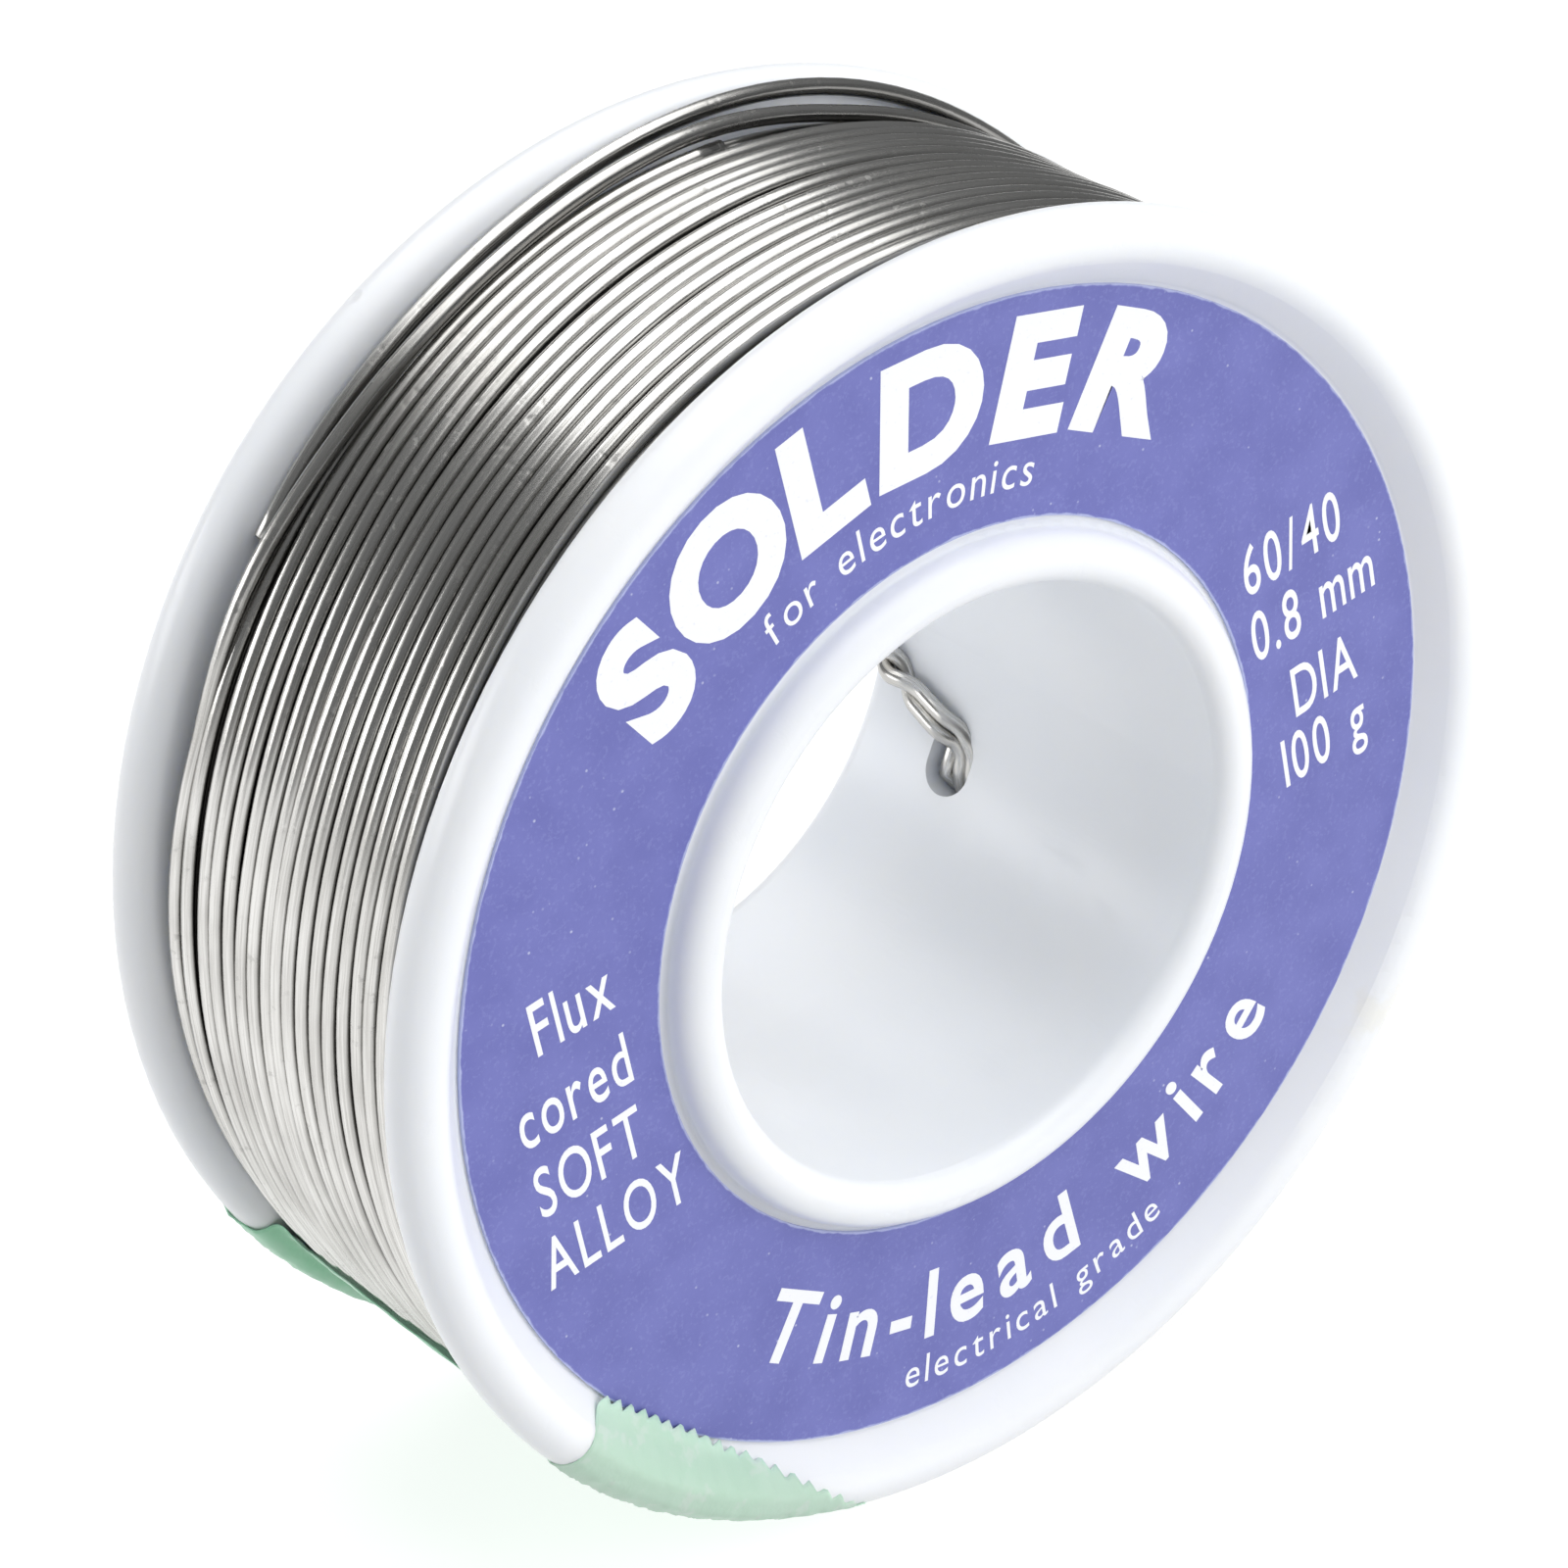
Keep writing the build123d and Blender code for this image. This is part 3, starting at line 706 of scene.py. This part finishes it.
def glyphs(text, height, bold, narrow, slant=0.0):
    """Each letter as (points, faces, middle, width), in millimetres on its own baseline."""
    made = []
    for letter in text:
        data = bpy.data.curves.new("letter", "FONT")
        data.body = letter
        data.size, data.offset, data.shear, data.resolution_u = 1.0, bold, slant, 6
        holder = bpy.data.objects.new("letter", data)
        scene.collection.objects.link(holder)
        bpy.context.view_layer.update()
        ready = holder.evaluated_get(bpy.context.evaluated_depsgraph_get())
        mesh = bpy.data.meshes.new_from_object(ready)
        points = np.array([v.co for v in mesh.vertices], float).reshape(-1, 3)
        faces = [tuple(p.vertices) for p in mesh.polygons]
        bpy.data.objects.remove(holder)
        bpy.data.curves.remove(data)
        bpy.data.meshes.remove(mesh)
        made.append((points, faces))
    caps = [p for (p, _), c in zip(made, text) if c.isupper() or c.isdigit()]
    cap = max(np.ptp(p[:, 1]) for p in caps) if caps else 0.7
    scale = height / cap
    out = []
    for points, faces in made:
        if len(points) == 0:
            out.append((points, faces, 0.0, WORD_SPACE * height * narrow))
            continue
        points = points * [scale * narrow, scale, 0]
        out.append((points, faces, (points[:, 0].min() + points[:, 0].max()) / 2, np.ptp(points[:, 0])))
    return out


def lay_letter(points, faces, at, up, right):
    """A letter's flat points on the label's face, as a thin closed plate."""
    flat = at[None, :] + points[:, :1] * right[None, :] + points[:, 1:2] * up[None, :]
    place = np.stack([flat[:, 0], np.full(len(flat), LABEL_FACE_Y + INK_SUNK), flat[:, 1]], -1)
    front = place - [0, INK_THICK, 0]
    n = len(place)
    used = {}
    for f in faces:
        for a, b in zip(f, f[1:] + f[:1]):
            used[(a, b)] = used.get((b, a), 0) + 1
    rim = [(a, b) for (a, b) in used if (b, a) not in used]
    solid = [tuple(f) for f in faces] + [tuple(n + i for i in reversed(f)) for f in faces]
    solid += [(b, a, n + a, n + b) for a, b in rim]
    return np.concatenate([front, place]), solid, np.zeros((2 * n, 2))


def arc_words(text, height, r, angles, bold, narrow, gap=0.0, inward=False, slant=0.0):
    """Letters round an arc of radius r, with their feet outwards if inward. angles gives each
    letter's place, or the middle of the word, whose letters are then spaced by gap."""
    letters = glyphs(text, height, bold, narrow, slant)
    if np.ndim(angles) == 0:
        total = sum(w + gap for *_, w in letters) - gap
        run, places = -total / 2, []
        for *_, w in letters:
            places.append(run + w / 2)
            run += w + gap
        sign = -1 if inward else 1
        angles = [angles + sign * math.degrees(p / r) for p in places]
    parts = []
    for (points, faces, middle, _), angle in zip(letters, angles):
        if len(points) == 0:
            continue
        out = np.array([math.sin(math.radians(angle)), math.cos(math.radians(angle))])
        side = np.array([out[1], -out[0]])
        up, right = (-out, -side) if inward else (out, side)
        centred = points - [middle, height / 2, 0]
        parts.append(lay_letter(centred, faces, out * r, up, right))
    return parts


def line_words(text, at_angle):
    """A straight line of letters, centred on a point and level with the label."""
    height, bold, narrow, gap = 2.60, 0.006, 0.60, 0.30
    up = np.array([math.sin(math.radians(LABEL_TURN)), math.cos(math.radians(LABEL_TURN))])
    right = np.array([up[1], -up[0]])
    centre = BLOCK_R * np.array([math.sin(math.radians(at_angle)), math.cos(math.radians(at_angle))])
    letters = glyphs(text, height, bold, narrow)
    total = sum(w + gap for *_, w in letters) - gap
    run, parts = -total / 2, []
    for points, faces, middle, w in letters:
        if len(points):
            centred = points - [middle, height / 2, 0]
            parts.append(lay_letter(centred, faces, centre + right * (run + w / 2), up, right))
        run += w + gap
    return parts


HEADLINE_ANGLES = (-48.0, -34.0, -20.8, -6.0, 8.4, 21.9)
RIGHT_LINES = [("60/40", 61.0), ("0.8 mm", 70.8), ("DIA", 81.9), ("100 g", 90.9)]
LEFT_LINES = [("Flux", -85.0), ("cored", -96.0), ("SOFT", -106.1), ("ALLOY", -116.1)]


def make_print():
    """Generic lettering in the built-in font."""
    pieces = {
        "label_headline": arc_words("SOLDER", 5.6, 23.2, HEADLINE_ANGLES, 0.050, 1.08, slant=0.10),
        "label_small_line": arc_words("for electronics", 1.55, 18.7, -12.5, 0.0, 0.92, 0.30, slant=0.1),
        "label_right_lines": [letter for line in RIGHT_LINES for letter in line_words(*line)],
        "label_left_lines": [letter for line in LEFT_LINES for letter in line_words(*line)],
        "label_footer": arc_words("Tin-lead wire", 3.5, 20.9, 168.5, 0.018, 0.90, 0.80, inward=True),
        "label_footnote": arc_words("electrical grade", 1.5, 24.3, 169.0, 0.0, 0.92, 0.35, inward=True),
    }
    for name, parts in pieces.items():
        verts, faces, _ = join(parts)
        piece = new_piece(name, verts, faces, INK, smooth=False)


# ---- floor and light ------------------------------------------------------------------------
def make_stage():
    n = Nodes("pale_floor")
    tint = n.mix(n.ramp(n.noise(6.0, 2.0), 0.3, 0.7), (0.34, 0.34, 0.34), (0.36, 0.36, 0.36))
    path = n.add("ShaderNodeLightPath")
    glow = n.ramp(path.outputs["Is Diffuse Ray"], 0.0, 1.0, 0.80, 0.34)
    n.set(Base_Color=tint, Roughness=0.9, Emission_Strength=glow)
    n.shader.inputs["Emission Color"].default_value = (1, 1, 1, 1)
    n.shader.inputs["Specular IOR Level"].default_value = 0.1
    reach = 4.0
    z = FLOOR_Z * MM - 0.0001
    corners = [(-reach, -reach, z), (reach, -reach, z), (reach, reach, z), (-reach, reach, z)]
    mesh = bpy.data.meshes.new("floor")
    mesh.from_pydata(corners, [], [(0, 1, 2, 3)])
    mesh.materials.append(n.material)
    floor = bpy.data.objects.new("floor", mesh)
    scene.collection.objects.link(floor)


def soft_box(name, at, target, size, power, glossy=True):
    """An area light. glossy says whether it shows in reflections."""
    data = bpy.data.lights.new(name, "AREA")
    data.shape = "RECTANGLE"
    data.size, data.size_y = size
    data.energy = power
    light = bpy.data.objects.new(name, data)
    scene.collection.objects.link(light)
    light.location = at
    light.rotation_mode = "QUATERNION"
    light.rotation_quaternion = (Vector(target) - Vector(at)).to_track_quat("-Z", "Y")
    light.visible_camera = False
    light.visible_glossy = glossy


def make_light():
    world = bpy.data.worlds.new("studio")
    scene.world = world
    world.use_nodes = True
    tree = world.node_tree
    room = tree.nodes["Background"]
    room.inputs["Color"].default_value = (0.96, 0.98, 1.0, 1)
    room.inputs["Strength"].default_value = 0.16
    backdrop = tree.nodes.new("ShaderNodeBackground")
    backdrop.inputs["Color"].default_value = (1, 1, 1, 1)
    seen = tree.nodes.new("ShaderNodeLightPath")
    choose = tree.nodes.new("ShaderNodeMixShader")
    tree.links.new(seen.outputs["Is Camera Ray"], choose.inputs[0])
    tree.links.new(room.outputs[0], choose.inputs[1])
    tree.links.new(backdrop.outputs[0], choose.inputs[2])
    tree.links.new(choose.outputs[0], tree.nodes["World Output"].inputs[0])
    soft_box("overhead_box", (0.065, 0.06, 0.55), (0.065, 0.06, 0.0), (0.57, 1.20), 4.4)
    soft_box("left_strip", (-0.68, 0.46, 0.19), (0, 0, 0), (0.66, 0.24), 2.1)
    soft_box("front_fill", (0.42, -0.84, 0.36), (0, 0, 0), (0.60, 0.60), 6.3, glossy=False)
    scene.view_settings.view_transform = "Standard"
    scene.view_settings.look = "None"
    scene.view_settings.exposure = 0.0
    scene.view_settings.gamma = 1.0


# ---- build ----------------------------------------------------------------------------------
make_camera()
make_stage()
make_light()
repaint("spool", PLASTIC)
repaint("front_label", LABEL)
# the buried CAD layers get the darker copy of the solder, as painted shade
for number in range(2, 15):
    repaint(f"wire_layer_{number:02d}", BURIED_SHADED)
outer_layers = wind_spool()
make_outer_end(outer_layers)
make_start_tail()
make_tape()
make_print()
